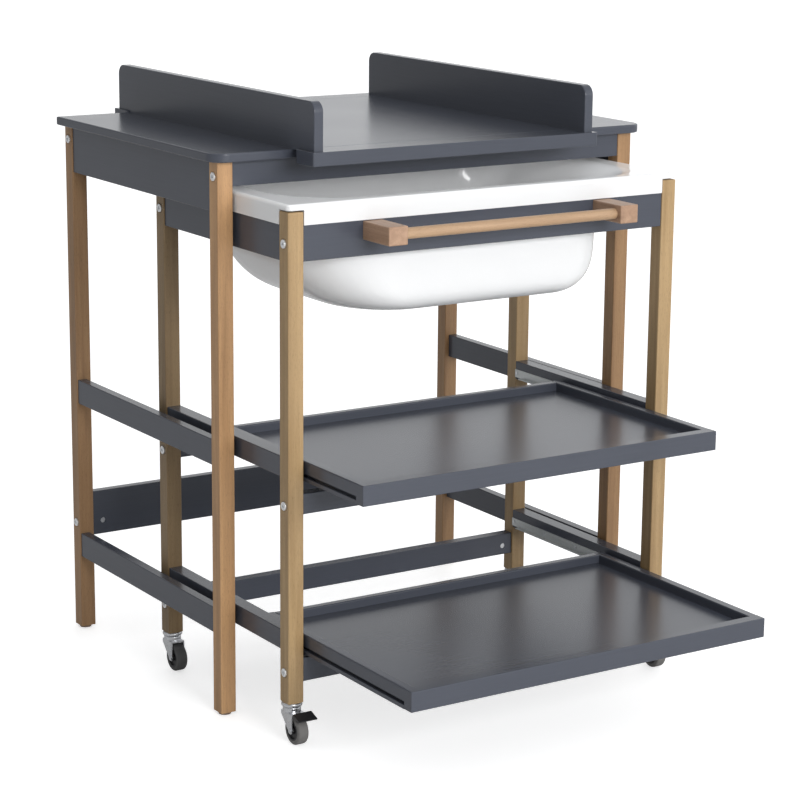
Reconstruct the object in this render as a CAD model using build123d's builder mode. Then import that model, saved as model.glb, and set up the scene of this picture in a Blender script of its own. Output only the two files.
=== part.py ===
"""Changing table with a bathtub trolley and two pull-out trays.

The table is an open wooden frame with a board top. A loose changing board hooks over
the top. Under it rolls a trolley that carries the bathtub, its handle and two trays.
The stored pose is half open: the trolley stands forward of the table, the trays are
pulled out by different amounts. X runs to the right, Y to the back, Z up, in millimetres.
The origin is on the floor, under the middle of the whole piece in this pose.
"""
import os
from math import cos, radians, sin, sqrt

from build123d import *

os.makedirs("parts", exist_ok=True)

# Stock
post_side = 29.4
post_edge_radius = 2.0
board_thickness = 18.0
board_edge_radius = 1.5
board_inset = 2.3

# Table frame
table_width = 862.4
table_depth = 591.6
table_post_top = 972.0
glide_height = 5.0
glide_diameter = 22.0
glide_pin_diameter = 5.0
glide_pin_length = 14.0
glide_pin_clearance = 0.05
table_side_apron_height = 86.0
table_cross_apron_height = 43.0
stretcher_height = 46.0
upper_stretcher_bottom = 446.5
lower_stretcher_bottom = 145.5
back_stretcher_bottom = 184.0
back_stretcher_height = 86.0

# Table top
top_thickness = 15.4
top_side_overhang = 15.8
top_front_overhang = 18.0
top_front_corner_radius = 30.0
top_back_corner_radius = 3.0
top_edge_radius = 2.5

# Changing board
changing_board_offset = -11.0
guard_spacing = 573.0
guard_height = 83.0
guard_length = 725.0
guard_corner_radius = 18.0
guard_edge_radius = 2.0
guard_front_setback = 8.0
guard_housing_depth = 1.0
guard_housing_clearance = 0.1
panel_thickness = 3.0
panel_joint_gap = 0.4
panel_edge_radius = 0.8
board_rail_height = 24.0
board_rail_end = 6.0
board_front_rail_width = 58.0
board_back_rail_width = 50.0
board_rail_corner_radius = 3.0
board_front_reach = 97.0
board_back_gap = 2.4

# Trolley frame
trolley_side_clearance = 4.1
trolley_depth = 467.0
trolley_pull = 176.2
trolley_post_bottom = 71.0
trolley_post_drop = 12.1
trolley_board_thickness = 22.0
trolley_board_inset = 2.5
trolley_apron_height = 60.0
side_rail_height = 35.5
side_rail_inset = 2.5
upper_rail_bottom = 462.5
lower_rail_bottom = 161.0
cross_rail_thickness = 22.0
cross_rail_inset = 3.0
upper_cross_rail_bottom = 399.5
upper_cross_rail_height = 35.5
lower_cross_rail_bottom = 106.5
lower_cross_rail_height = 42.0

# Bolts and barrel nuts that draw the cross boards to the posts
bolt_diameter = 6.0
bolt_hole_clearance = 0.3
bolt_head_diameter = 15.0
bolt_head_height = 3.0
bolt_head_stand = 2.0
bolt_socket_across = 6.0
bolt_socket_depth = 2.4
counterbore_diameter = 18.0
bolt_past_nut = 5.5
bolt_end_room = 3.0
bolt_head_edge_radius = 0.8
table_apron_bolt_share = 0.4
back_stretcher_bolt_share = 0.31
trolley_apron_bolt_share = 0.5
upper_cross_rail_bolt_share = 0.45
lower_cross_rail_bolt_share = 0.42
barrel_nut_diameter = 10.0
barrel_nut_clearance = 0.1
barrel_nut_length = 14.0
barrel_nut_setback = 20.5
barrel_nut_recess = 1.0
nut_thread_clearance = 0.05

# Tray runners
runner_thickness = 1.6
runner_height = 15.5
runner_lift = 4.5
runner_length = 400.0
runner_flange_gap = 1.0
runner_flange_setback = 25.0
runner_screw_pitch = 103.0
runner_screw_count = 4
runner_screw_end = 6.0
runner_screw_diameter = 3.0
runner_screw_length = 16.0
runner_screw_head_diameter = 6.6
runner_screw_head_height = 1.2
runner_screw_clearance = 0.2

# Trays
tray_side_gap = 4.7
tray_height = 34.6
tray_lip_height = 21.0
tray_groove_height = 7.0
tray_groove_depth = 8.0
tray_groove_gap = 0.3
tray_front_thickness = 21.0
tray_side_thickness = 18.0
tray_back_thickness = 16.0
tray_rim_edge_radius = 2.5
tray_floor_drop = 15.0
tray_floor_thickness = 5.0
tray_floor_tongue = 5.0
tray_tongue_thickness = 4.0
tray_floor_clearance = 0.1
tray_joint_gap = 0.1
upper_tray_pull = 179.1
lower_tray_pull = 327.3

# Bathtub
rim_clearance = 8.5
rim_thickness = 3.5
skirt_height = 34.5
skirt_thickness = 3.0
skirt_foot_width = 9.0
skirt_foot_height = 3.0
rim_corner_radius = 9.0
rim_edge_radius = 7.0
notch_clearance = 0.8
notch_top_gap = 2.6
notch_corner_radius = 5.0
rim_width_left = 46.0
rim_width_right = 42.0
rim_width_front = 30.0
rim_width_back = 36.0
rim_roll_radius = 8.0
basin_depth = 205.5
basin_wall = 3.0
basin_draft_share = 0.046
basin_left_corner_radius = 126.0
basin_right_corner_radius = 75.0
basin_side_foot_radius = 40.0
basin_end_foot_radius = 75.0
basin_back_rest_draft_share = 0.171
basin_back_rest_radius = 161.0
basin_shoulder_radius = 74.0
lip_angles = (0, 25, 55, 90)
shoulder_angles = (45, 65, 90)
back_rest_level_shares = (0.45, 0.72)
foot_angles = (0, 25, 45, 62, 76, 90)
drain_offset = 120.0
drain_hole_diameter = 40.0
drain_bore_depth = 9.0
plug_flange_diameter = 50.0
plug_flange_height = 3.0
plug_edge_radius = 1.5
plug_stem_diameter = 39.6
plug_stem_length = 6.0
plug_knob_diameter = 12.0
plug_knob_height = 10.0
plug_knob_edge_radius = 3.0

# Handle
handle_block_width = 37.0
handle_block_height = 31.5
handle_block_lift = 27.0
handle_block_length = 80.3
handle_block_spacing = 471.0
handle_block_edge_radius = 2.0
handle_bar_diameter = 19.0
handle_bar_setback = 19.0
handle_socket_depth = 14.0
handle_bar_clearance = 0.1

# Casters
wheel_diameter = 50.0
wheel_width = 20.0
tyre_thickness = 7.0
tyre_edge_radius = 4.0
hub_dish_depth = 3.0
hub_rim_wall = 3.0
hub_boss_diameter = 13.0
caster_trail = 17.0
stem_diameter = 10.0
stem_length = 32.0
stem_clearance = 0.1
race_diameter = 36.0
race_height = 7.0
race_edge_radius = 2.5
kingpin_diameter = 8.0
kingpin_clearance = 0.05
kingpin_head_diameter = 14.0
kingpin_head_height = 1.6
swivel_gap = 0.3
fork_head_diameter = 31.0
fork_head_height = 8.5
fork_plate = 2.0
fork_wheel_gap = 1.2
fork_back_reach = 14.0
fork_front_reach = 21.0
fork_foot_radius = 6.0
fork_shoulder_height = 7.0
axle_diameter = 6.0
axle_clearance = 0.05
axle_head_diameter = 9.0
axle_head_height = 1.6
ear_reach = 31.0
ear_height = 6.5
pedal_pin_setback = 27.0
pedal_pin_drop = 0.5
pedal_pin_diameter = 3.0
pedal_pin_clearance = 0.1
pedal_hub_diameter = 5.5
pedal_side_gap = 0.4
pedal_tread_width = 36.0
pedal_tread_reach = 55.0
pedal_tread_thickness = 3.5
pedal_crest_height = 9.0
pedal_shoe_length = 10.0
pedal_shoe_depth = 6.0

# Places that follow from the sizes above
side_names = ((-1, "left"), (1, "right"))
board_back_reach = board_back_gap + board_back_rail_width
front = (trolley_pull + lower_tray_pull - table_depth - board_back_reach) / 2
back = front + table_depth
half_table = table_width / 2
trolley_width = table_width - 2 * (post_side + trolley_side_clearance)
trolley_front = front - trolley_pull
trolley_back = trolley_front + trolley_depth
half_trolley = trolley_width / 2
table_top_height = table_post_top + top_thickness
rim_top = table_post_top - table_cross_apron_height - rim_clearance
trolley_post_top = rim_top - trolley_post_drop
skirt_bottom = rim_top - skirt_height
trolley_apron_bottom = skirt_bottom - trolley_apron_height
handle_block_bottom = trolley_apron_bottom + handle_block_lift
bolt_hole_diameter = bolt_diameter + 2 * bolt_hole_clearance
counterbore_depth = bolt_head_height - bolt_head_stand
bolt_length = bolt_head_stand + post_side + barrel_nut_setback + bolt_past_nut
board_bolt_hole_depth = barrel_nut_setback + bolt_past_nut + bolt_end_room
barrel_hole_diameter = barrel_nut_diameter + 2 * barrel_nut_clearance
barrel_hole_depth = barrel_nut_recess + barrel_nut_length + barrel_nut_clearance
nut_thread_diameter = bolt_diameter + 2 * nut_thread_clearance
glide_hole_diameter = glide_pin_diameter + 2 * glide_pin_clearance
stem_hole_diameter = stem_diameter + 2 * stem_clearance
stem_hole_depth = stem_length + stem_clearance
runner_pilot_diameter = runner_screw_diameter + 2 * runner_screw_clearance


def finish(piece, name):
    """Label a finished piece and write it."""
    piece.part.label = name
    export_step(piece.part, f"parts/{name}.step")


def block(x_range, y_range, z_range, mode=Mode.ADD):
    """A box between two places along each axis, added to the part being built or cut from it."""
    sizes = [high - low for low, high in (x_range, y_range, z_range)]
    middle = [(high + low) / 2 for low, high in (x_range, y_range, z_range)]
    with Locations(Vector(*middle)):
        Box(*sizes, mode=mode)


def rod(start, direction, diameter, length, mode=Mode.ADD):
    """A round rod, or a round hole with Mode.SUBTRACT, from a place along a direction."""
    with Locations(Plane(origin=start, z_dir=direction)):
        Cylinder(diameter / 2, length, align=(Align.CENTER, Align.CENTER, Align.MIN), mode=mode)


# Bolted joints
# A bolt goes through the post from its outer side face into the end of the cross board,
# where a barrel nut lies across it.

table_cross_apron_bottom = table_post_top - table_cross_apron_height
front_post_middle = front + post_side / 2
back_post_middle = back - post_side / 2
trolley_front_post_middle = trolley_front + post_side / 2
trolley_back_post_middle = trolley_back - post_side / 2

table_front_bolts = [table_cross_apron_bottom + table_apron_bolt_share * table_cross_apron_height]
table_back_bolts = [
    table_front_bolts[0],
    back_stretcher_bottom + back_stretcher_bolt_share * back_stretcher_height,
]
trolley_bolts_up = [
    trolley_apron_bottom + trolley_apron_bolt_share * trolley_apron_height,
    upper_cross_rail_bottom + upper_cross_rail_bolt_share * upper_cross_rail_height,
    lower_cross_rail_bottom + lower_cross_rail_bolt_share * lower_cross_rail_height,
]


def post_holes(half_width, side, middle, heights):
    """The stepped holes for the bolts in one post."""
    for height in heights:
        face = (side * half_width, middle, height)
        rod(face, (-side, 0, 0), counterbore_diameter, counterbore_depth, Mode.SUBTRACT)
        rod(face, (-side, 0, 0), bolt_hole_diameter, post_side, Mode.SUBTRACT)


def cross_board(half_length, y_range, z_range, inner, bolt_middle, bolt_height):
    """A board between two posts, bored at both ends. inner is +1 if its back face has the nuts."""
    inner_face = y_range[1] if inner > 0 else y_range[0]
    with BuildPart() as board:
        block((-half_length, half_length), y_range, z_range)
        fillet(board.edges().filter_by(Axis.X), board_edge_radius)
        for side in (-1, 1):
            end = (side * half_length, bolt_middle, bolt_height)
            rod(end, (-side, 0, 0), bolt_hole_diameter, board_bolt_hole_depth, Mode.SUBTRACT)
            nut = (side * (half_length - barrel_nut_setback), inner_face, bolt_height)
            rod(nut, (0, -inner, 0), barrel_hole_diameter, barrel_hole_depth, Mode.SUBTRACT)
    return board


def side_board(half_width, side, inset, thickness, y_range, z_range):
    """A board along one side of a frame."""
    outer = half_width - inset
    with BuildPart() as board:
        block(sorted((side * outer, side * (outer - thickness))), y_range, z_range)
        fillet(board.edges().filter_by(Axis.Y), board_edge_radius)
    return board


def bolts(half_width, joints):
    """All bolts of a frame: joints holds (post's middle, bolt's height) pairs."""
    with BuildPart() as group:
        for side in (-1, 1):
            for middle, height in joints:
                crown = (side * (half_width + bolt_head_stand), middle, height)
                rod(crown, (-side, 0, 0), bolt_head_diameter, bolt_head_height)
                rod(crown, (-side, 0, 0), bolt_diameter, bolt_length)
        heads = [e for e in group.edges().filter_by(GeomType.CIRCLE) if e.radius > bolt_diameter]
        fillet([e for e in heads if abs(e.center().X) > half_width], bolt_head_edge_radius)
        for side in (-1, 1):
            for middle, height in joints:
                crown = (side * (half_width + bolt_head_stand), middle, height)
                with BuildSketch(Plane(origin=crown, z_dir=(-side, 0, 0))) as socket:
                    RegularPolygon(bolt_socket_across / 2, 6, major_radius=False)
                extrude(socket.sketch, amount=bolt_socket_depth, mode=Mode.SUBTRACT)
    return group


def barrel_nuts(half_inner, joints):
    """All barrel nuts of a frame: joints holds (inner face, inner, middle, height)."""
    with BuildPart() as group:
        for side in (-1, 1):
            for face, inner, middle, height in joints:
                across = side * (half_inner - barrel_nut_setback)
                seat = (across, face - inner * barrel_nut_recess, height)
                rod(seat, (0, -inner, 0), barrel_nut_diameter, barrel_nut_length)
                start = (across - barrel_nut_diameter, middle, height)
                rod(start, (1, 0, 0), nut_thread_diameter, 2 * barrel_nut_diameter, Mode.SUBTRACT)
    return group


# Table frame
for side, side_name in side_names:
    for middle, end_name, heights in (
        (front_post_middle, "front", table_front_bolts),
        (back_post_middle, "back", table_back_bolts),
    ):
        across = side * (half_table - post_side / 2)
        with BuildPart() as table_post:
            block(
                (across - post_side / 2, across + post_side / 2),
                (middle - post_side / 2, middle + post_side / 2),
                (glide_height, table_post_top),
            )
            fillet(table_post.edges().filter_by(Axis.Z), post_edge_radius)
            post_holes(half_table, side, middle, heights)
            foot = (across, middle, glide_height)
            rod(foot, (0, 0, 1), glide_hole_diameter, glide_pin_length, Mode.SUBTRACT)
        finish(table_post, f"table_post_{end_name}_{side_name}")

with BuildPart() as floor_glides:
    for side in (-1, 1):
        for middle in (front_post_middle, back_post_middle):
            across = side * (half_table - post_side / 2)
            rod((across, middle, 0), (0, 0, 1), glide_diameter, glide_height)
            rod((across, middle, 0), (0, 0, 1), glide_pin_diameter, glide_height + glide_pin_length)
finish(floor_glides, "floor_glides")

between_posts = (front + post_side, back - post_side)
for side, side_name in side_names:
    table_side_apron = side_board(
        half_table,
        side,
        board_inset,
        board_thickness,
        between_posts,
        (table_post_top - table_side_apron_height, table_post_top),
    )
    finish(table_side_apron, f"table_apron_{side_name}")

half_table_inner = half_table - post_side
front_board_y = (front + board_inset, front + board_inset + board_thickness)
back_board_y = (
    back - post_side + board_inset,
    back - post_side + board_inset + board_thickness,
)
table_cross_apron_z = (table_cross_apron_bottom, table_post_top)
table_apron_front = cross_board(
    half_table_inner, front_board_y, table_cross_apron_z, 1, front_post_middle, table_front_bolts[0]
)
finish(table_apron_front, "table_apron_front")

table_apron_back = cross_board(
    half_table_inner, back_board_y, table_cross_apron_z, -1, back_post_middle, table_back_bolts[0]
)
finish(table_apron_back, "table_apron_back")

back_stretcher = cross_board(
    half_table_inner,
    back_board_y,
    (back_stretcher_bottom, back_stretcher_bottom + back_stretcher_height),
    -1,
    back_post_middle,
    table_back_bolts[1],
)
finish(back_stretcher, "back_stretcher")

with BuildPart() as side_stretchers:
    for side in (-1, 1):
        for bottom in (upper_stretcher_bottom, lower_stretcher_bottom):
            stretcher = side_board(
                half_table,
                side,
                board_inset,
                board_thickness,
                between_posts,
                (bottom, bottom + stretcher_height),
            )
            add(stretcher.part)
finish(side_stretchers, "side_stretchers")

table_bolts = bolts(
    half_table,
    [(front_post_middle, h) for h in table_front_bolts]
    + [(back_post_middle, h) for h in table_back_bolts],
)
finish(table_bolts, "table_bolts")

table_barrel_nuts = barrel_nuts(
    half_table_inner,
    [(front_board_y[1], 1, front_post_middle, h) for h in table_front_bolts]
    + [(back_board_y[0], -1, back_post_middle, h) for h in table_back_bolts],
)
finish(table_barrel_nuts, "table_barrel_nuts")

half_top = half_table + top_side_overhang
with BuildPart() as table_top:
    with BuildSketch(Plane.XY.offset(table_post_top)) as top_outline:
        with Locations((0, (front - top_front_overhang + back) / 2)):
            Rectangle(2 * half_top, table_depth + top_front_overhang)
        corners = top_outline.vertices().group_by(Axis.Y)
        fillet(corners[0], top_front_corner_radius)
        fillet(corners[-1], top_back_corner_radius)
    extrude(amount=top_thickness)
    fillet(table_top.faces().sort_by(Axis.Z)[-1].edges(), top_edge_radius)
    fillet(table_top.faces().sort_by(Axis.Z)[0].edges(), top_edge_radius)
finish(table_top, "table_top")

# Changing board
half_guards = guard_spacing / 2
board_top = table_top_height + panel_thickness
board_front = front - board_front_reach
board_back = back + board_back_reach
front_rail_back = board_front + board_front_rail_width
back_rail_front = board_back - board_back_rail_width

panel_y = (front_rail_back + panel_joint_gap, back_rail_front - panel_joint_gap)
housing_z = (board_top - guard_housing_depth, board_top)
half_field = half_guards - board_thickness - guard_housing_clearance
with BuildPart() as board_panel:
    block(
        (changing_board_offset - half_guards, changing_board_offset + half_guards),
        panel_y,
        (table_top_height, housing_z[0]),
    )
    block(
        (changing_board_offset - half_field, changing_board_offset + half_field), panel_y, housing_z
    )
    fillet(board_panel.edges().filter_by(Axis.X).group_by(Axis.Z)[-1], panel_edge_radius)
finish(board_panel, "changing_board_panel")

for name, y_range in (
    ("changing_board_front_rail", (board_front, front_rail_back)),
    ("changing_board_back_rail", (back_rail_front, board_back)),
):
    half_rail = half_guards + board_rail_end
    with BuildPart() as board_rail:
        block(
            (changing_board_offset - half_rail, changing_board_offset + half_rail),
            y_range,
            (board_top - board_rail_height, board_top),
        )
        fillet(board_rail.edges().filter_by(Axis.Z), board_rail_corner_radius)
        fillet(board_rail.faces().sort_by(Axis.Z)[0].edges(), board_edge_radius)
        fillet(board_rail.faces().sort_by(Axis.Z)[-1].edges(), panel_edge_radius)
    finish(board_rail, name)

guard_y = (board_front + guard_front_setback, board_front + guard_front_setback + guard_length)
for side, side_name in side_names:
    guard_outer = changing_board_offset + side * half_guards
    guard_left = min(guard_outer, guard_outer - side * board_thickness)
    with BuildPart() as guard:
        with BuildSketch(Plane.YZ.offset(guard_left)) as guard_outline:
            with Locations((sum(guard_y) / 2, board_top + guard_height / 2)):
                Rectangle(guard_length, guard_height)
            fillet(guard_outline.vertices().group_by(Axis.Y)[-1], guard_corner_radius)
        extrude(amount=board_thickness)
        long_edges = [e for e in guard.edges() if e.center().Z > board_top + guard_edge_radius]
        fillet([e for e in long_edges if e.bounding_box().size.X < guard_edge_radius], guard_edge_radius)
        block((guard_left, guard_left + board_thickness), panel_y, housing_z)
    finish(guard, f"changing_board_guard_{side_name}")

# Trolley frame
for side, side_name in side_names:
    for middle, end_name in (
        (trolley_front_post_middle, "front"),
        (trolley_back_post_middle, "back"),
    ):
        across = side * (half_trolley - post_side / 2)
        with BuildPart() as trolley_post:
            block(
                (across - post_side / 2, across + post_side / 2),
                (middle - post_side / 2, middle + post_side / 2),
                (trolley_post_bottom, trolley_post_top),
            )
            fillet(trolley_post.edges().filter_by(Axis.Z), post_edge_radius)
            fillet(trolley_post.faces().sort_by(Axis.Z)[-1].edges(), post_edge_radius)
            post_holes(half_trolley, side, middle, trolley_bolts_up)
            foot = (across, middle, trolley_post_bottom)
            rod(foot, (0, 0, 1), stem_hole_diameter, stem_hole_depth, Mode.SUBTRACT)
        finish(trolley_post, f"trolley_post_{end_name}_{side_name}")

between_trolley_posts = (trolley_front + post_side, trolley_back - post_side)
trolley_apron_z = (trolley_apron_bottom, trolley_apron_bottom + trolley_apron_height)
for side, side_name in side_names:
    trolley_side_apron = side_board(
        half_trolley,
        side,
        trolley_board_inset,
        trolley_board_thickness,
        between_trolley_posts,
        trolley_apron_z,
    )
    finish(trolley_side_apron, f"trolley_apron_{side_name}")

half_trolley_inner = half_trolley - post_side
trolley_front_apron_y = (
    trolley_front + trolley_board_inset,
    trolley_front + trolley_board_inset + trolley_board_thickness,
)
trolley_back_apron_y = (
    trolley_back - trolley_board_inset - trolley_board_thickness,
    trolley_back - trolley_board_inset,
)
trolley_apron_front = cross_board(
    half_trolley_inner,
    trolley_front_apron_y,
    trolley_apron_z,
    1,
    trolley_front_post_middle,
    trolley_bolts_up[0],
)
finish(trolley_apron_front, "trolley_apron_front")

trolley_apron_back = cross_board(
    half_trolley_inner,
    trolley_back_apron_y,
    trolley_apron_z,
    -1,
    trolley_back_post_middle,
    trolley_bolts_up[0],
)
finish(trolley_apron_back, "trolley_apron_back")

front_cross_rail_y = (
    trolley_front + cross_rail_inset,
    trolley_front + cross_rail_inset + cross_rail_thickness,
)
back_cross_rail_y = (
    trolley_back - cross_rail_inset - cross_rail_thickness,
    trolley_back - cross_rail_inset,
)
for name, bottom, height, bolt_height in (
    ("upper_cross_rails", upper_cross_rail_bottom, upper_cross_rail_height, trolley_bolts_up[1]),
    ("lower_cross_rails", lower_cross_rail_bottom, lower_cross_rail_height, trolley_bolts_up[2]),
):
    with BuildPart() as cross_rails:
        for y_range, inner, middle in (
            (front_cross_rail_y, 1, trolley_front_post_middle),
            (back_cross_rail_y, -1, trolley_back_post_middle),
        ):
            rail = cross_board(
                half_trolley_inner, y_range, (bottom, bottom + height), inner, middle, bolt_height
            )
            add(rail.part)
    finish(cross_rails, name)

runner_bottoms = [upper_rail_bottom + runner_lift, lower_rail_bottom + runner_lift]
runner_y = (trolley_back - post_side - runner_length, trolley_back - post_side)
runner_screw_places = [
    runner_y[1] - runner_screw_end - count * runner_screw_pitch for count in range(runner_screw_count)
]
runner_screw_rise = (runner_thickness + runner_height) / 2

with BuildPart() as trolley_side_rails:
    for side in (-1, 1):
        for bottom in (upper_rail_bottom, lower_rail_bottom):
            rail = side_board(
                half_trolley,
                side,
                side_rail_inset,
                post_side - side_rail_inset,
                between_trolley_posts,
                (bottom, bottom + side_rail_height),
            )
            add(rail.part)
            for place in runner_screw_places:
                start = (side * half_trolley_inner, place, bottom + runner_lift + runner_screw_rise)
                rod(start, (side, 0, 0), runner_pilot_diameter, runner_screw_length, Mode.SUBTRACT)
finish(trolley_side_rails, "trolley_side_rails")

trolley_joints = [
    (middle, height)
    for middle in (trolley_front_post_middle, trolley_back_post_middle)
    for height in trolley_bolts_up
]
trolley_bolts = bolts(half_trolley, trolley_joints)
finish(trolley_bolts, "trolley_bolts")

trolley_barrel_nuts = barrel_nuts(
    half_trolley_inner,
    [
        (trolley_front_apron_y[1], 1, trolley_front_post_middle, trolley_bolts_up[0]),
        (trolley_back_apron_y[0], -1, trolley_back_post_middle, trolley_bolts_up[0]),
    ]
    + [(front_cross_rail_y[1], 1, trolley_front_post_middle, h) for h in trolley_bolts_up[1:]]
    + [(back_cross_rail_y[0], -1, trolley_back_post_middle, h) for h in trolley_bolts_up[1:]],
)
finish(trolley_barrel_nuts, "trolley_barrel_nuts")

# Tray runners and their screws
half_tray = half_trolley_inner - tray_side_gap
with BuildPart() as tray_runners:
    for side in (-1, 1):
        for bottom in runner_bottoms:
            leg = sorted((side * half_trolley_inner, side * (half_trolley_inner - runner_thickness)))
            flange_tip = half_tray - tray_groove_depth + runner_flange_gap
            flange = sorted((side * half_trolley_inner, side * flange_tip))
            block(leg, runner_y, (bottom, bottom + runner_height))
            flange_y = (runner_y[0], runner_y[1] - runner_flange_setback)
            block(flange, flange_y, (bottom, bottom + runner_thickness))
            for place in runner_screw_places:
                start = (side * half_trolley_inner, place, bottom + runner_screw_rise)
                rod(start, (-side, 0, 0), runner_pilot_diameter, runner_thickness, Mode.SUBTRACT)
finish(tray_runners, "tray_runners")

with BuildPart() as runner_screws:
    for side in (-1, 1):
        for bottom in runner_bottoms:
            for place in runner_screw_places:
                seat_x = side * (half_trolley_inner - runner_thickness)
                seat = (seat_x, place, bottom + runner_screw_rise)
                rod(seat, (-side, 0, 0), runner_screw_head_diameter, runner_screw_head_height)
                rod(seat, (side, 0, 0), runner_screw_diameter, runner_screw_length)
finish(runner_screws, "runner_screws")

# Trays
for tray_name, bottom, pull in (
    ("upper", runner_bottoms[0], upper_tray_pull),
    ("lower", runner_bottoms[1], lower_tray_pull),
):
    groove_top = bottom + runner_thickness + tray_groove_gap
    tray_top = groove_top + tray_lip_height
    tray_bottom = tray_top - tray_height
    tray_front = trolley_front - pull
    box_front = tray_front + tray_front_thickness
    tray_back = tray_front + trolley_depth
    floor_z = (tray_top - tray_floor_drop - tray_floor_thickness, tray_top - tray_floor_drop)
    tongue_z = (floor_z[0], floor_z[0] + tray_tongue_thickness)
    floor_x = half_tray - tray_side_thickness + tray_floor_tongue
    floor_y = (box_front - tray_floor_tongue, tray_back - tray_back_thickness + tray_floor_tongue)

    with BuildPart() as tray_front_board:
        block((-half_tray, half_tray), (tray_front, box_front), (tray_bottom, tray_top))
        fillet(tray_front_board.edges().filter_by(Axis.X).group_by(Axis.Y)[0], board_edge_radius)
        fillet(tray_front_board.edges().filter_by(Axis.Z).group_by(Axis.Y)[0], board_edge_radius)
        block((-floor_x, floor_x), floor_y, tongue_z, Mode.SUBTRACT)
    finish(tray_front_board, f"{tray_name}_tray_front")

    with BuildPart() as tray_rims:
        for side in (-1, 1):
            side_x = sorted((side * half_tray, side * (half_tray - tray_side_thickness)))
            groove_x = sorted((side * half_tray, side * (half_tray - tray_groove_depth)))
            block(side_x, (box_front, tray_back), (tray_bottom, tray_top))
            groove_z = (groove_top - tray_groove_height, groove_top)
            block(groove_x, (box_front, tray_back), groove_z, Mode.SUBTRACT)
        back_half = half_tray - tray_side_thickness - tray_joint_gap
        back_y = (tray_back - tray_back_thickness, tray_back)
        block((-back_half, back_half), back_y, (tray_bottom, tray_top))
        top_edges = tray_rims.edges().group_by(Axis.Z)[-1]
        fillet([edge for edge in top_edges if edge.length > post_side], tray_rim_edge_radius)
        block((-floor_x, floor_x), floor_y, tongue_z, Mode.SUBTRACT)
    finish(tray_rims, f"{tray_name}_tray_rims")

    with BuildPart() as tray_floor:
        fit = tray_floor_clearance
        block(
            (-floor_x + fit, floor_x - fit),
            (floor_y[0] + fit, floor_y[1] - fit),
            (tongue_z[0] + fit, tongue_z[1] - fit),
        )
        half_floor = half_tray - tray_side_thickness - fit
        block(
            (-half_floor, half_floor),
            (box_front + fit, tray_back - tray_back_thickness - fit),
            (tongue_z[0] + fit, floor_z[1] - fit),
        )
    finish(tray_floor, f"{tray_name}_tray_floor")

# Bathtub
trolley_middle = (trolley_front + trolley_back) / 2
opening_left = -half_trolley + rim_width_left
opening_right = half_trolley - rim_width_right - basin_shoulder_radius
opening_front = trolley_front + rim_width_front
opening_back = trolley_back - rim_width_back


def foot_inset(depth, draft, radius):
    """How far a wall has come in at a depth: a straight draft, then an arc into the floor."""
    start = basin_depth - radius
    if depth <= start:
        return draft * depth
    drop = min(depth - start, radius)
    return draft * start + radius - sqrt(radius**2 - drop**2)


def roll_outset(depth, radius):
    """How far the rounded lip above a wall still stands out at a depth."""
    rise = max(radius - depth, 0)
    return radius - sqrt(radius**2 - rise**2)


def basin(wall):
    """The basin's inside, moved out and down by a wall: a loft through level sections."""
    lip = [rim_roll_radius * (1 - cos(radians(angle))) for angle in lip_angles]
    shoulder = [basin_shoulder_radius * (1 - cos(radians(angle))) for angle in shoulder_angles]
    rest_start = basin_depth - basin_back_rest_radius
    foot_start = basin_depth - basin_end_foot_radius
    rest = [rest_start + (foot_start - rest_start) * share for share in back_rest_level_shares]
    foot = [foot_start + basin_end_foot_radius * sin(radians(angle)) for angle in foot_angles]
    with BuildPart() as shape:
        for depth in lip + shoulder + rest + foot:
            lip_outset = roll_outset(depth, rim_roll_radius)
            side_inset = foot_inset(depth, basin_draft_share, basin_side_foot_radius)
            end_inset = foot_inset(depth, basin_draft_share, basin_end_foot_radius)
            back_rest = foot_inset(depth, basin_back_rest_draft_share, basin_back_rest_radius)
            left = opening_left - lip_outset + back_rest - wall
            right = opening_right + roll_outset(depth, basin_shoulder_radius) - end_inset + wall
            low = opening_front - lip_outset + side_inset - wall
            high = opening_back + lip_outset - side_inset + wall
            with BuildSketch(Plane.XY.offset(rim_top - wall - depth)) as level:
                with Locations(((left + right) / 2, (low + high) / 2)):
                    Rectangle(right - left, high - low)
                corner_change = lip_outset - side_inset + wall
                fillet(level.vertices().group_by(Axis.X)[0], basin_left_corner_radius + corner_change)
                fillet(level.vertices().group_by(Axis.X)[-1], basin_right_corner_radius + corner_change)
        loft()
    return shape


basin_outside = basin(basin_wall)
basin_inside = basin(0)
basin_floor = rim_top - basin_depth
drain_middle = (drain_offset, trolley_middle, basin_floor)

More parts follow.
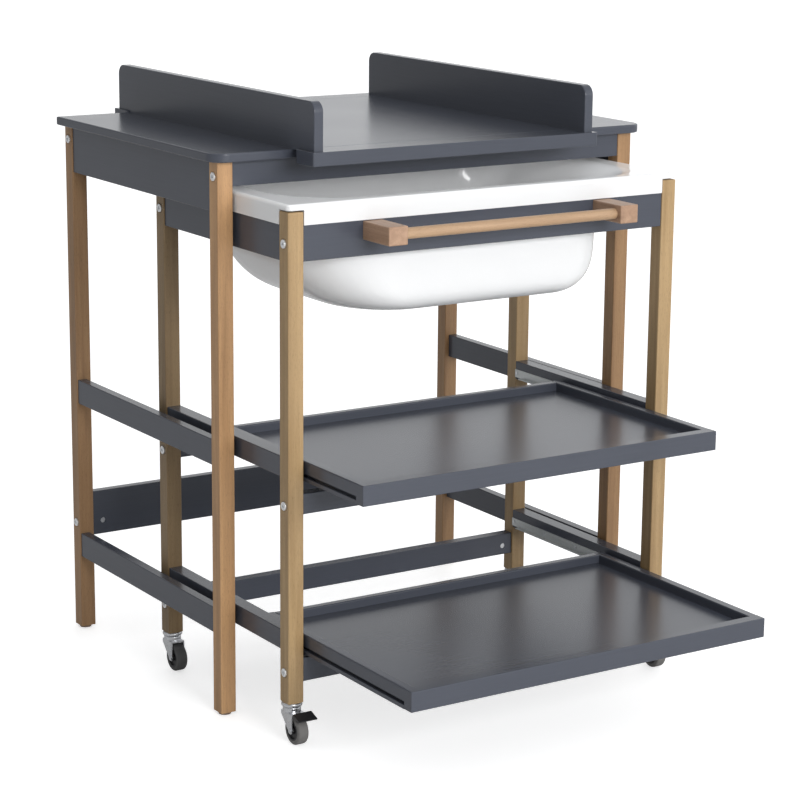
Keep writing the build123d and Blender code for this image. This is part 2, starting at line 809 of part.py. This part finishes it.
with BuildPart() as bathtub:
    block((-half_trolley, half_trolley), (trolley_front, trolley_back), (skirt_bottom, rim_top))
    fillet(bathtub.edges().filter_by(Axis.Z), rim_corner_radius)
    fillet(bathtub.faces().sort_by(Axis.Z)[-1].edges(), rim_edge_radius)
    block(
        (-half_trolley + skirt_thickness, half_trolley - skirt_thickness),
        (trolley_front + skirt_thickness, trolley_back - skirt_thickness),
        (skirt_bottom + skirt_foot_height, rim_top - rim_thickness),
        Mode.SUBTRACT,
    )
    block(
        (-half_trolley + skirt_foot_width, half_trolley - skirt_foot_width),
        (trolley_front + skirt_foot_width, trolley_back - skirt_foot_width),
        (skirt_bottom, skirt_bottom + skirt_foot_height),
        Mode.SUBTRACT,
    )
    notch = post_side + notch_clearance
    notch_top = trolley_post_top + notch_top_gap
    for side in (-1, 1):
        for end, end_face in ((-1, trolley_front), (1, trolley_back)):
            outer_x = side * (half_trolley + rim_corner_radius)
            outer_y = end_face + end * rim_corner_radius
            notch_x = sorted((outer_x, side * (half_trolley - notch)))
            notch_y = sorted((outer_y, end_face - end * notch))
            block(notch_x, notch_y, (skirt_bottom, notch_top), Mode.SUBTRACT)
    add(basin_outside.part)
    add(basin_inside.part, mode=Mode.SUBTRACT)
    bore_top = (drain_offset, trolley_middle, basin_floor + basin_wall)
    rod(bore_top, (0, 0, -1), drain_hole_diameter, drain_bore_depth, Mode.SUBTRACT)
finish(bathtub, "bathtub")

with BuildPart() as drain_plug:
    rod(drain_middle, (0, 0, 1), plug_flange_diameter, plug_flange_height)
    fillet(drain_plug.edges().group_by(Axis.Z)[-1], plug_edge_radius)
    rod(drain_middle, (0, 0, -1), plug_stem_diameter, plug_stem_length)
    knob = (drain_offset, trolley_middle, basin_floor + plug_flange_height)
    rod(knob, (0, 0, 1), plug_knob_diameter, plug_knob_height)
    fillet(drain_plug.edges().group_by(Axis.Z)[-1], plug_knob_edge_radius)
finish(drain_plug, "drain_plug")

# Handle
apron_face = trolley_front + trolley_board_inset
handle_z = (handle_block_bottom, handle_block_bottom + handle_block_height)
bar_middle = (handle_z[0] + handle_z[1]) / 2
bar_y = apron_face - handle_block_length + handle_bar_setback
half_bar_span = (handle_block_spacing - handle_block_width) / 2
with BuildPart() as handle_blocks:
    for side in (-1, 1):
        middle = side * handle_block_spacing / 2
        x_range = (middle - handle_block_width / 2, middle + handle_block_width / 2)
        block(x_range, (apron_face - handle_block_length, apron_face), handle_z)
    front_edges = handle_blocks.edges().filter_by(Axis.Y) + handle_blocks.edges().group_by(Axis.Y)[0]
    fillet(front_edges, handle_block_edge_radius)
    for side in (-1, 1):
        rod(
            (side * half_bar_span, bar_y, bar_middle),
            (side, 0, 0),
            handle_bar_diameter + 2 * handle_bar_clearance,
            handle_socket_depth,
            Mode.SUBTRACT,
        )
finish(handle_blocks, "handle_blocks")

with BuildPart() as handle_bar:
    reach = half_bar_span + handle_socket_depth - handle_bar_clearance
    rod((-reach, bar_y, bar_middle), (1, 0, 0), handle_bar_diameter, 2 * reach)
finish(handle_bar, "handle_bar")

# Casters
wheel_radius = wheel_diameter / 2
race_bottom = trolley_post_bottom - race_height
fork_top = race_bottom - swivel_gap
bridge_top = fork_top - fork_head_height
bridge_bottom = bridge_top - fork_plate
half_fork_inner = wheel_width / 2 + fork_wheel_gap
half_fork = half_fork_inner + fork_plate
pedal_pin_height = bridge_bottom - pedal_pin_drop
caster_places = [
    (end_name, side_name, side * (half_trolley - post_side / 2), middle)
    for end_name, middle in (
        ("front", trolley_front_post_middle),
        ("back", trolley_back_post_middle),
    )
    for side, side_name in side_names
]

with BuildPart() as caster_stems:
    for _, _, x, y in caster_places:
        rod((x, y, race_bottom), (0, 0, 1), race_diameter, race_height)
    round_edges = [e for e in caster_stems.edges() if e.geom_type == GeomType.CIRCLE]
    fillet(round_edges, race_edge_radius)
    for _, _, x, y in caster_places:
        rod((x, y, trolley_post_bottom), (0, 0, 1), stem_diameter, stem_length)
        pin_bottom = bridge_bottom - swivel_gap - kingpin_head_height
        rod((x, y, pin_bottom), (0, 0, 1), kingpin_diameter, race_bottom - pin_bottom)
        rod((x, y, pin_bottom), (0, 0, 1), kingpin_head_diameter, kingpin_head_height)
finish(caster_stems, "caster_stems")

for end_name, side_name, x, y in caster_places:
    braked = end_name == "front"
    axle_y = y - caster_trail
    plate_front = y - fork_front_reach
    plate_back = y + fork_back_reach
    pin_y = y - pedal_pin_setback

    with BuildPart() as caster_fork:
        for side in (-1, 1):
            inner_x = x + side * half_fork_inner
            plate_x = min(inner_x, inner_x + side * fork_plate)
            with BuildSketch(Plane.YZ.offset(plate_x)) as plate:
                with Locations((axle_y, wheel_radius)):
                    Circle(fork_foot_radius)
                with Locations(((plate_front + plate_back) / 2, bridge_top - fork_shoulder_height / 2)):
                    Rectangle(plate_back - plate_front, fork_shoulder_height)
                make_hull()
                if braked:
                    ear = ((y - ear_reach + plate_back) / 2, bridge_top - ear_height / 2)
                    with Locations(ear):
                        Rectangle(plate_back - y + ear_reach, ear_height)
            extrude(plate.sketch, amount=fork_plate)
        bridge_x = (x - half_fork, x + half_fork)
        block(bridge_x, (plate_front, plate_back), (bridge_bottom, bridge_top))
        rod((x, y, bridge_top), (0, 0, 1), fork_head_diameter, fork_head_height)
        fillet(caster_fork.edges().group_by(Axis.Z)[-1], race_edge_radius)
        kingpin_hole = kingpin_diameter + 2 * kingpin_clearance
        rod((x, y, fork_top), (0, 0, -1), kingpin_hole, fork_top - bridge_bottom, Mode.SUBTRACT)
        axle_hole = axle_diameter + 2 * axle_clearance
        axle_end = (x - half_fork, axle_y, wheel_radius)
        rod(axle_end, (1, 0, 0), axle_hole, 2 * half_fork, Mode.SUBTRACT)
        rod(axle_end, (1, 0, 0), axle_diameter, 2 * half_fork)
        for side in (-1, 1):
            head_start = (x + side * half_fork, axle_y, wheel_radius)
            rod(head_start, (side, 0, 0), axle_head_diameter, axle_head_height)
        if braked:
            pin_start = (x - half_fork, pin_y, pedal_pin_height)
            rod(pin_start, (1, 0, 0), pedal_pin_diameter, 2 * half_fork)
    finish(caster_fork, f"caster_fork_{end_name}_{side_name}")

    wheel_left = x - wheel_width / 2
    with BuildPart() as caster_tyre:
        rod((wheel_left, axle_y, wheel_radius), (1, 0, 0), wheel_diameter, wheel_width)
        fillet(caster_tyre.edges().filter_by(GeomType.CIRCLE), tyre_edge_radius)
        hub_diameter = wheel_diameter - 2 * tyre_thickness
        rod((wheel_left, axle_y, wheel_radius), (1, 0, 0), hub_diameter, wheel_width, Mode.SUBTRACT)
    finish(caster_tyre, f"caster_tyre_{end_name}_{side_name}")

    with BuildPart() as caster_hub:
        rod((wheel_left, axle_y, wheel_radius), (1, 0, 0), hub_diameter, wheel_width)
        for side in (-1, 1):
            face = (x + side * wheel_width / 2, axle_y, wheel_radius)
            with BuildSketch(Plane(origin=face, z_dir=(-side, 0, 0))) as dish:
                Circle(hub_diameter / 2 - hub_rim_wall)
                Circle(hub_boss_diameter / 2, mode=Mode.SUBTRACT)
            extrude(dish.sketch, amount=hub_dish_depth, mode=Mode.SUBTRACT)
        bore = axle_diameter + 2 * axle_clearance
        rod((wheel_left, axle_y, wheel_radius), (1, 0, 0), bore, wheel_width, Mode.SUBTRACT)
    finish(caster_hub, f"caster_hub_{end_name}_{side_name}")

    if braked:
        half_pedal = half_fork_inner - pedal_side_gap
        with BuildPart() as brake_pedal:
            with BuildSketch(Plane.YZ.offset(x - half_pedal)) as shoe:
                with Locations((pin_y, pedal_pin_height)):
                    Circle(pedal_hub_diameter / 2)
                tread_bottom = pedal_pin_height + pedal_hub_diameter / 2 - pedal_tread_thickness
                shoe_front = pin_y - pedal_hub_diameter - pedal_shoe_length
                with BuildLine():
                    Polyline(
                        (pin_y, pedal_pin_height + pedal_hub_diameter / 2),
                        (shoe_front, tread_bottom),
                        (shoe_front, pedal_pin_height - pedal_shoe_depth),
                        (shoe_front + pedal_hub_diameter, pedal_pin_height - pedal_shoe_depth),
                        (pin_y, pedal_pin_height - pedal_hub_diameter / 2),
                        close=True,
                    )
                make_face()
            extrude(shoe.sketch, amount=2 * half_pedal)
            ear_clear = y - ear_reach - pedal_side_gap
            with BuildSketch(Plane.YZ.offset(x - pedal_tread_width / 2)) as tread:
                with BuildLine():
                    Polyline(
                        (ear_clear, tread_bottom),
                        (ear_clear, tread_bottom + pedal_tread_thickness),
                        (ear_clear - pedal_hub_diameter / 2, tread_bottom + pedal_crest_height),
                        (y - pedal_tread_reach, tread_bottom + pedal_tread_thickness / 2),
                        (y - pedal_tread_reach, tread_bottom),
                        close=True,
                    )
                make_face()
            extrude(tread.sketch, amount=pedal_tread_width)
            pin_hole = pedal_pin_diameter + 2 * pedal_pin_clearance
            hole_start = (x - half_pedal, pin_y, pedal_pin_height)
            rod(hole_start, (1, 0, 0), pin_hole, 2 * half_pedal, Mode.SUBTRACT)
        finish(brake_pedal, f"brake_pedal_{side_name}")
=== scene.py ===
"""Looks of the changing table with a bathtub trolley: finishes, floor, lights and camera."""

import math

import bpy
from mathutils import Matrix, Vector

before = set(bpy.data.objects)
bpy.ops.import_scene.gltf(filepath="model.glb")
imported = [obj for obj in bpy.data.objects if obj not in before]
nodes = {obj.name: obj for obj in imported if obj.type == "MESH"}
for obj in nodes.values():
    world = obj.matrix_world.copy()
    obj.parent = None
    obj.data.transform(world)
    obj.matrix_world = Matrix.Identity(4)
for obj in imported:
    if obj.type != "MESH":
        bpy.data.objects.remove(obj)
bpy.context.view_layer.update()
scene = bpy.context.scene
scene.view_settings.view_transform = "Standard"

# Axes, by their place in a vector
ACROSS = 0
DEEP = 1
UPRIGHT = 2
ROOM_UP = (0.0, 0.0, 1.0)

# Camera: its place in metres, and a focal length in pixels of a picture 800 pixels wide
camera_place = Vector((-2.37415, -3.67139, 1.52796))
forward = Vector((0.5251, 0.8198, -0.2284)).normalized()
roll = math.radians(-0.53)
picture_width = 800.0
focal_pixels = 2477.2
sensor_width = 36.0
clip_end = 200.0

level_right = forward.cross(Vector(ROOM_UP)).normalized()
level_down = forward.cross(level_right).normalized()
camera_right = math.cos(roll) * level_right + math.sin(roll) * level_down
camera_down = math.cos(roll) * level_down - math.sin(roll) * level_right
camera_data = bpy.data.cameras.new("camera")
camera_data.sensor_width = sensor_width
camera_data.sensor_fit = "HORIZONTAL"
camera_data.lens = focal_pixels * sensor_width / picture_width
camera_data.clip_end = clip_end
camera = bpy.data.objects.new("camera", camera_data)
axes = Matrix((camera_right, -camera_down, -forward)).transposed()
camera.matrix_world = Matrix.Translation(camera_place) @ axes.to_4x4()
scene.collection.objects.link(camera)
scene.camera = camera


# Node graphs
def shade(colour, share):
    """A colour made darker or lighter by a share."""
    return [c * share for c in colour]


class Graph:
    """A material's node graph, built up node by node."""

    def __init__(self, name):
        self.material = bpy.data.materials.new(name)
        self.material.use_nodes = True
        self.tree = self.material.node_tree
        self.tree.nodes.clear()
        self.output = self.tree.nodes.new("ShaderNodeOutputMaterial")
        self.shader = self.tree.nodes.new("ShaderNodeBsdfPrincipled")
        self.tree.links.new(self.shader.outputs[0], self.output.inputs["Surface"])
        self.place = self.tree.nodes.new("ShaderNodeTexCoord").outputs["Object"]

    def node(self, kind, **values):
        """Adds a node. values are its sockets, as numbers or as links."""
        added = self.tree.nodes.new(kind)
        for key, value in values.items():
            self.put(added, key.replace("_", " "), value)
        return added

    def put(self, node, socket, value):
        """Sets a socket to a value, or links another node's output to it."""
        if isinstance(value, bpy.types.NodeSocket):
            self.tree.links.new(value, node.inputs[socket])
        else:
            node.inputs[socket].default_value = value

    def finish(self, **values):
        """Sets the shader's own sockets."""
        for key, value in values.items():
            self.put(self.shader, key.replace("_", " "), value)
        return self.material

    def stretch(self, along, amount):
        """Places, drawn out along one axis, for fibres and brush marks."""
        scale = [1.0, 1.0, 1.0]
        scale[along] = amount
        return self.node("ShaderNodeMapping", Vector=self.place, Scale=scale).outputs[0]

    def noise(self, vector, scale, detail, roughness=0.5, distortion=0.0):
        """A noise factor at the given places."""
        return self.node(
            "ShaderNodeTexNoise",
            Vector=vector,
            Scale=scale,
            Detail=detail,
            Roughness=roughness,
            Distortion=distortion,
        ).outputs["Fac"]

    def ramp(self, factor, stops):
        """A colour ramp. stops are (position, linear colour) pairs."""
        added = self.node("ShaderNodeValToRGB", Fac=factor)
        points = added.color_ramp.elements
        while len(points) < len(stops):
            points.new(stops[-1][0])
        for point, (position, colour) in zip(points, stops):
            point.position = position
            point.color = (*colour, 1.0)
        return added.outputs["Color"]

    def grey(self, factor, low, high, start, end):
        """Maps a factor from start to end onto plain numbers from low to high."""
        return self.node(
            "ShaderNodeMapRange",
            Value=factor,
            From_Min=start,
            From_Max=end,
            To_Min=low,
            To_Max=high,
        ).outputs[0]

    def mix(self, factor, a, b):
        """Mixes two colours. The node has more sockets of one name, so places pick them."""
        added = self.tree.nodes.new("ShaderNodeMix")
        added.data_type = "RGBA"
        factor_socket, a_socket, b_socket = (added.inputs[index] for index in (0, 6, 7))
        self.tree.links.new(factor, factor_socket)
        self.tree.links.new(a, a_socket)
        b_socket.default_value = (*b, 1.0)
        return added.outputs[2]

    def bump(self, height, distance, strength, normal=None):
        """A normal from a height, laid over another normal where one is given."""
        added = self.node("ShaderNodeBump", Height=height, Distance=distance, Strength=strength)
        if normal is not None:
            self.tree.links.new(normal, added.inputs["Normal"])
        return added.outputs[0]


def wood(name, tones, along, gloss=0.42):
    """Oiled wood with fibres along one axis. tones are its dark, middle and light colour."""
    g = Graph(name)
    dark, middle, light = tones
    bands = g.noise(g.stretch(along, 0.045), scale=75.0, detail=2.0, roughness=0.45, distortion=0.6)
    colour = g.ramp(bands, ((0.28, dark), (0.5, middle), (0.74, light)))
    fibres = g.noise(g.stretch(along, 0.018), scale=900.0, detail=3.0, roughness=0.6)
    lines = g.grey(fibres, low=0.0, high=0.5, start=0.35, end=0.7)
    colour = g.mix(lines, colour, shade(middle, 0.72))
    patches = g.noise(g.stretch(along, 0.25), scale=9.0, detail=2.0)
    paler = g.grey(patches, low=0.0, high=0.45, start=0.35, end=0.75)
    colour = g.mix(paler, colour, shade(light, 1.18))
    pores = g.noise(g.stretch(along, 0.05), scale=2400.0, detail=1.0)
    specks = g.grey(pores, low=0.0, high=0.5, start=0.62, end=0.72)
    colour = g.mix(specks, colour, shade(dark, 0.42))
    normal = g.bump(fibres, distance=0.0002, strength=0.35)
    return g.finish(
        Base_Color=colour,
        Roughness=g.grey(fibres, low=gloss - 0.05, high=gloss + 0.12, start=0.3, end=0.7),
        Normal=g.bump(pores, distance=0.00015, strength=0.25, normal=normal),
    )


def lacquer(name, along, colour=(0.056, 0.062, 0.08)):
    """Satin anthracite lacquer over wood whose fibres just show along one axis."""
    g = Graph(name)
    broad = g.noise(g.place, scale=4.0, detail=2.0)
    tone = g.ramp(broad, ((0.3, shade(colour, 0.96)), (0.7, shade(colour, 1.04))))
    fibres = g.noise(g.stretch(along, 0.02), scale=420.0, detail=3.0, roughness=0.55)
    lines = g.grey(fibres, low=0.0, high=0.22, start=0.35, end=0.7)
    tone = g.mix(lines, tone, shade(colour, 1.25))
    peel = g.noise(g.place, scale=650.0, detail=1.0, roughness=0.4)
    normal = g.bump(fibres, distance=0.00006, strength=0.1)
    return g.finish(
        Base_Color=tone,
        Roughness=g.grey(broad, low=0.25, high=0.27, start=0.3, end=0.7),
        Normal=g.bump(peel, distance=0.00003, strength=0.15, normal=normal),
    )


def moulded(name, colour, rough, grain=1200.0, depth=0.00006, spread=0.06):
    """Moulded plastic or rubber with a fine skin texture."""
    g = Graph(name)
    broad = g.noise(g.place, scale=22.0, detail=3.0)
    tone = g.ramp(broad, ((0.3, shade(colour, 1 - spread)), (0.7, shade(colour, 1 + spread))))
    skin = g.noise(g.place, scale=grain, detail=2.0)
    return g.finish(
        Base_Color=tone,
        Roughness=g.grey(broad, low=rough - 0.04, high=rough + 0.04, start=0.3, end=0.7),
        Normal=g.bump(skin, distance=depth, strength=0.4),
    )


def plated(name, colour, rough, metal=1.0):
    """Zinc plated steel with a faintly uneven shine."""
    g = Graph(name)
    spots = g.noise(g.place, scale=160.0, detail=3.0, roughness=0.6)
    tone = g.ramp(spots, ((0.3, shade(colour, 0.93)), (0.7, colour)))
    return g.finish(
        Metallic=metal,
        Base_Color=tone,
        Roughness=g.grey(spots, low=rough - 0.03, high=rough + 0.05, start=0.3, end=0.7),
        Normal=g.bump(spots, distance=0.00001, strength=0.1),
    )


def translucent(material, weight, depth):
    """Lets some light through a thin wall."""
    shader = next(n for n in material.node_tree.nodes if n.type == "BSDF_PRINCIPLED")
    shader.inputs["Subsurface Weight"].default_value = weight
    shader.inputs["Subsurface Scale"].default_value = depth
    shader.inputs["Subsurface Radius"].default_value = (1.0, 1.0, 1.0)


# Colours, linear. Wood has a dark, a middle and a light tone, and each post a share of them. The
# shares hold each post's own tone and also painted light and shade: the front left table post is
# painted lighter where the key light falls on it, and the back posts are painted darker where they
# stand in shade.
table_tones = ((0.25, 0.136, 0.06), (0.35, 0.197, 0.09), (0.425, 0.25, 0.118))
trolley_tones = ((0.27, 0.165, 0.07), (0.36, 0.235, 0.11), (0.44, 0.3, 0.15))
bar_tones = ((0.33, 0.205, 0.115), (0.42, 0.27, 0.158), (0.5, 0.335, 0.205))
block_tones = ((0.26, 0.15, 0.09), (0.36, 0.22, 0.14), (0.45, 0.29, 0.19))
tub_white = (0.78, 0.785, 0.79)
plug_grey = (0.5, 0.51, 0.52)
glide_brown = (0.2, 0.14, 0.1)
front_tyre_grey = (0.15, 0.145, 0.14)
# The back tyres are the front tyres' rubber painted darker: painted shade where they stand further
# back.
back_tyre_grey_painted_shade = (0.075, 0.075, 0.075)
hub_black = (0.02, 0.02, 0.022)
pedal_black = (0.018, 0.018, 0.02)
zinc_grey = (0.68, 0.69, 0.71)
runner_grey = (0.62, 0.64, 0.64)
bolt_grey = (0.86, 0.87, 0.88)


def post_wood_with_painted_light(post, tones, share):
    """Wood for one post, whose tones are a share of its kind's: partly the post's own tone, partly
    painted light and painted shade.
    """
    return wood(f"{post}_wood", [shade(tone, share) for tone in tones], UPRIGHT)


# The tub is glossier than the other plastics, with a flatter skin and an even colour.
tub_skin = {"rough": 0.12, "grain": 260.0, "depth": 0.00002, "spread": 0.006}
tyre_skin = {"rough": 0.6, "grain": 900.0, "depth": 0.0001}
finishes = {
    # The post shares paint light and shade: lighter for the front left table post, darker for the
    # back posts, and darkest for the back left trolley post.
    "table_post_front_left": post_wood_with_painted_light("table_post_front_left", table_tones, share=1.3),
    "table_post_front_right": post_wood_with_painted_light("table_post_front_right", table_tones, share=0.97),
    "table_post_back": post_wood_with_painted_light("table_post_back", table_tones, share=0.86),
    "trolley_post_front": post_wood_with_painted_light("trolley_post_front", trolley_tones, share=1.0),
    "trolley_post_back_left": post_wood_with_painted_light("trolley_post_back_left", trolley_tones, share=0.6),
    "trolley_post_back_right": post_wood_with_painted_light("trolley_post_back_right", trolley_tones, share=0.9),
    "handle_bar": wood("handle_bar_wood", bar_tones, ACROSS),
    "handle_blocks": wood("handle_block_wood", block_tones, DEEP),
    "bathtub": moulded("white_gloss_plastic", tub_white, **tub_skin),
    "drain_plug": moulded("plug_rubber", plug_grey, rough=0.5),
    "floor_glides": moulded("glide_plastic", glide_brown, rough=0.5),
    "caster_tyre_front": moulded("tyre_rubber_front", front_tyre_grey, **tyre_skin),
    # The back tyres take the darker grey: painted shade.
    "caster_tyre_back": moulded("tyre_rubber_back_painted_shade", back_tyre_grey_painted_shade, **tyre_skin),
    "caster_hub": moulded("hub_plastic", hub_black, rough=0.4),
    "brake_pedal": moulded("pedal_plastic", pedal_black, rough=0.36),
    "zinc": plated("zinc_plate", zinc_grey, rough=0.28),
    "tray_runners": plated("runner_steel", runner_grey, rough=0.42, metal=0.8),
    "table_bolts": plated("bolt_steel", bolt_grey, rough=0.34, metal=0.7),
    "trolley_bolts": plated("bolt_steel_trolley", bolt_grey, rough=0.34, metal=0.7),
    "across": lacquer("lacquer_across", ACROSS),
    "deep": lacquer("lacquer_deep", DEEP),
}
# The tub's thin wall lets some light through.
translucent(finishes["bathtub"], weight=0.12, depth=0.03)

# Boards that lie across have their fibres across, and the others from front to back.
across_nodes = (
    "table_top",
    "changing_board_front_rail",
    "changing_board_back_rail",
    "table_apron_front",
    "table_apron_back",
    "back_stretcher",
    "trolley_apron_front",
    "trolley_apron_back",
    "upper_cross_rails",
    "lower_cross_rails",
    "upper_tray_front",
    "lower_tray_front",
    "upper_tray_floor",
    "lower_tray_floor",
)
zinc_starts = ("table_barrel", "trolley_barrel", "runner_screws", "caster_fork", "caster_stems")


def finish_of(name):
    """The finish a CAD node takes."""
    if name in across_nodes:
        return finishes["across"]
    if name.startswith(zinc_starts):
        return finishes["zinc"]
    for start, material in finishes.items():
        if name.startswith(start):
            return material
    return finishes["deep"]


for name, obj in nodes.items():
    material = finish_of(name)
    if not obj.material_slots:
        obj.data.materials.append(material)
    for slot in obj.material_slots:
        slot.material = material

# Floor. Its own glow keeps it white and doesn't light the piece.
floor_reach = 60.0
floor_white = (0.75, 0.75, 0.75, 1.0)
floor_roughness = 0.6
floor_glow = 0.6
floor_mesh = bpy.data.meshes.new("floor")
corner_signs = ((-1, -1), (1, -1), (1, 1), (-1, 1))
corners = [(x * floor_reach, y * floor_reach, 0) for x, y in corner_signs]
floor_mesh.from_pydata(corners, [], [tuple(range(len(corners)))])
floor = bpy.data.objects.new("floor", floor_mesh)
scene.collection.objects.link(floor)
floor_graph = Graph("floor_white")
floor_graph.finish(
    Base_Color=floor_white,
    Roughness=floor_roughness,
    Emission_Color=(1.0, 1.0, 1.0, 1.0),
    Emission_Strength=floor_glow,
)
floor_mesh.materials.append(floor_graph.material)
floor_only = bpy.data.collections.new("floor_only")
floor_only.objects.link(floor)
floor.light_linking.receiver_collection = floor_only

# Light. The room is bright to the right and dim to the left, and a little brighter low down.
room_right = (1.0, -0.1, 0.0)
room_tint = (0.98, 0.99, 1.0, 1.0)
overhead_level = 0.66
world = bpy.data.worlds.new("studio")
world.use_nodes = True
room = world.node_tree
direction = room.nodes.new("ShaderNodeTexCoord").outputs["Generated"]


def room_share(toward, low, high, start, end):
    """A number that goes from low to high as the direction turns toward an axis."""
    facing = room.nodes.new("ShaderNodeVectorMath")
    facing.operation = "DOT_PRODUCT"
    room.links.new(direction, facing.inputs[0])
    facing.inputs[1].default_value = toward
    spread = room.nodes.new("ShaderNodeMapRange")
    room.links.new(facing.outputs["Value"], spread.inputs["Value"])
    spread.interpolation_type = "SMOOTHSTEP"
    ends = {"From Min": start, "From Max": end, "To Min": low, "To Max": high}
    for socket, value in ends.items():
        spread.inputs[socket].default_value = value
    return spread.outputs[0]


level = room_share(room_right, low=0.3, high=1.2, start=-0.7, end=1.0)
above = room_share(ROOM_UP, low=0.0, high=1.0, start=0.35, end=0.9)
horizon = room_share(ROOM_UP, low=1.35, high=1.0, start=0.08, end=0.24)
around = room.nodes.new("ShaderNodeMath")
around.operation = "MULTIPLY"
room.links.new(level, around.inputs[0])
room.links.new(horizon, around.inputs[1])
blend = room.nodes.new("ShaderNodeMix")
blend_factor, blend_sides, blend_overhead = blend.inputs[0], blend.inputs[2], blend.inputs[3]
room.links.new(above, blend_factor)
room.links.new(around.outputs[0], blend_sides)
blend_overhead.default_value = overhead_level
background = room.nodes["Background"]
room.links.new(blend.outputs[0], background.inputs["Strength"])
background.inputs["Color"].default_value = room_tint
scene.world = world


def softbox(name, place, target, size, power):
    """An area light aimed at a point, in metres and watts. size is its width and height."""
    data = bpy.data.lights.new(name, "AREA")
    data.shape = "RECTANGLE"
    data.size, data.size_y = size
    data.energy = power
    light = bpy.data.objects.new(name, data)
    aim = Vector(target) - Vector(place)
    light.rotation_euler = aim.to_track_quat("-Z", "Y").to_euler()
    light.location = place
    scene.collection.objects.link(light)
    return light


softbox("key", place=(-0.1, -5.4, 2.35), target=(0.0, 0.0, 0.8), size=(3.0, 1.6), power=212.0)
softbox("back", place=(3.7, 5.0, 4.4), target=(0.1, 0.1, 0.9), size=(2.6, 2.6), power=7.0)
# The tub stands under the top, and a light of its own reaches into it.
tub_light = softbox(
    "tub", place=(-0.4, 0.0, 3.4), target=(0.0, 0.0, 0.9), size=(1.6, 1.6), power=22.0
)
tub_only = bpy.data.collections.new("tub_only")
tub_only.objects.link(nodes["bathtub"])
tub_light.light_linking.receiver_collection = tub_only
tub_light.light_linking.blocker_collection = tub_only
